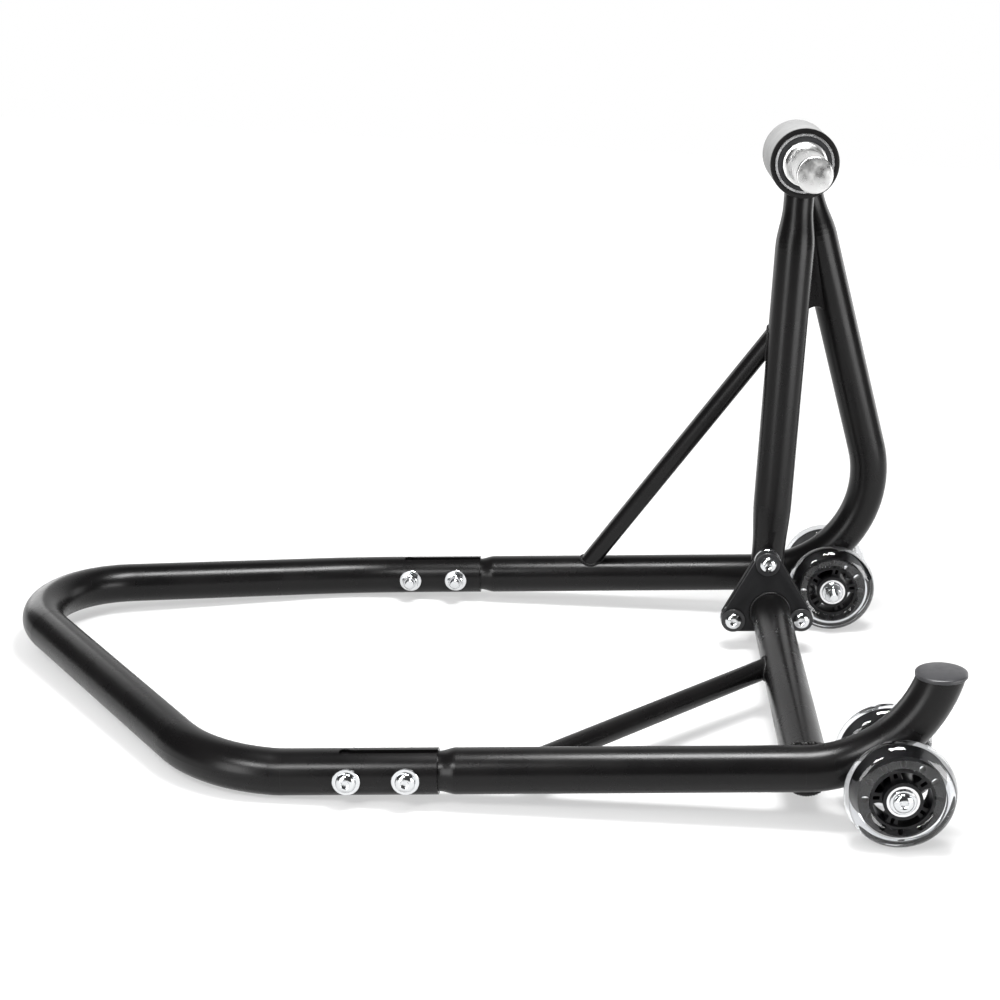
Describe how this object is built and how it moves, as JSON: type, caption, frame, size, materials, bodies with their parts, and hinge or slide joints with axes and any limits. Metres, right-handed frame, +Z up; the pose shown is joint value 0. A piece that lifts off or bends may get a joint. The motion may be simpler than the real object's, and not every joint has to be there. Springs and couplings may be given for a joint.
{
  "type": "paddock stand",
  "caption": "Black tubular paddock stand with a joined handle, four clear-tyred castors on two axles and a turned lifting pin in a bearing hub",
  "frame": {"origin": "on the floor, under the middle of the stand's bounding box", "axes": "+X from the joined handle to the wheels, -Y the side the lifting pin points to, +Z up; the stand is at rest with its wheels and the handle on the floor"},
  "size_m": [0.7136, 0.5014, 0.4372],
  "materials": {
    "powder_coat": "satin, fine-textured black powder coat over welded steel tube",
    "plate_paint": "flat matte black paint",
    "black_zinc": "black passivated plain washers",
    "cap_plastic": "moulded dark grey plastic, slightly glossy",
    "satin_silver": "light matte silver sleeve",
    "turned_steel": "bright turned steel with fine turning marks",
    "zinc_plate": "bright zinc plate",
    "bearing_steel": "ground and polished bearing steel",
    "spring_steel": "dark oiled spring steel",
    "shield_steel": "pressed sheet steel, satin",
    "seal_rubber": "black lip seal rubber",
    "clear_urethane": "clear, slightly smoky polyurethane tread",
    "core_nylon": "moulded black nylon"
  },
  "bodies": {
    "root": {"handle_tube": "powder_coat", "near_side_tube": "powder_coat", "far_side_tube": "powder_coat", "front_leg": "powder_coat", "leg_gusset": "powder_coat", "cross_tube": "powder_coat", "near_brace": "powder_coat", "far_brace": "powder_coat", "near_axle_bush": "powder_coat", "far_axle_bush": "powder_coat", "end_cap": "cap_plastic", "front_flange_plate": "plate_paint", "rear_flange_plate": "plate_paint", "flange_spacers": "zinc_plate", "flange_washers": "black_zinc", "flange_bolts": "zinc_plate", "clamp_bolts": "zinc_plate", "clamp_washers": "zinc_plate", "clamp_nuts": "zinc_plate", "hub_housing": "powder_coat", "hub_cover": "satin_silver", "hub_outer_races": "bearing_steel", "hub_seals": "seal_rubber", "hub_circlip": "spring_steel", "near_axle_bolt": "zinc_plate", "far_axle_bolt": "zinc_plate", "axle_nuts": "zinc_plate", "axle_washers": "zinc_plate", "near_axle_races": "bearing_steel", "far_axle_races": "bearing_steel", "wheel_bearing_spacers": "turned_steel"},
    "near_outer_wheel": {"near_outer_core": "core_nylon", "near_outer_tyre": "clear_urethane", "near_outer_races": "bearing_steel", "near_outer_shields": "shield_steel", "near_outer_balls": "bearing_steel"},
    "near_inner_wheel": {"near_inner_core": "core_nylon", "near_inner_tyre": "clear_urethane", "near_inner_races": "bearing_steel", "near_inner_shields": "shield_steel", "near_inner_balls": "bearing_steel"},
    "far_inner_wheel": {"far_inner_core": "core_nylon", "far_inner_tyre": "clear_urethane", "far_inner_races": "bearing_steel", "far_inner_shields": "shield_steel", "far_inner_balls": "bearing_steel"},
    "far_outer_wheel": {"far_outer_core": "core_nylon", "far_outer_tyre": "clear_urethane", "far_outer_races": "bearing_steel", "far_outer_shields": "shield_steel", "far_outer_balls": "bearing_steel"},
    "lifting_pin": {"lift_pin": "turned_steel", "hub_inner_races": "bearing_steel", "hub_balls": "bearing_steel", "hub_spacer": "turned_steel", "pin_circlip": "spring_steel"}
  },
  "joints": [
    {"name": "near_outer_spin", "type": "hinge", "parent": "root", "child": "near_outer_wheel", "pos_m": [0.31385, -0.233, 0.038], "axis": [0, 1, 0], "continuous": true},
    {"name": "near_inner_spin", "type": "hinge", "parent": "root", "child": "near_inner_wheel", "pos_m": [0.31385, -0.173, 0.038], "axis": [0, 1, 0], "continuous": true},
    {"name": "far_inner_spin", "type": "hinge", "parent": "root", "child": "far_inner_wheel", "pos_m": [0.31385, 0.173, 0.038], "axis": [0, 1, 0], "continuous": true},
    {"name": "far_outer_spin", "type": "hinge", "parent": "root", "child": "far_outer_wheel", "pos_m": [0.31385, 0.233, 0.038], "axis": [0, 1, 0], "continuous": true},
    {"name": "lift_pin_spin", "type": "hinge", "parent": "root", "child": "lifting_pin", "pos_m": [0.25433, 0.126, 0.40949], "axis": [0, 1, 0], "continuous": true}
  ]
}
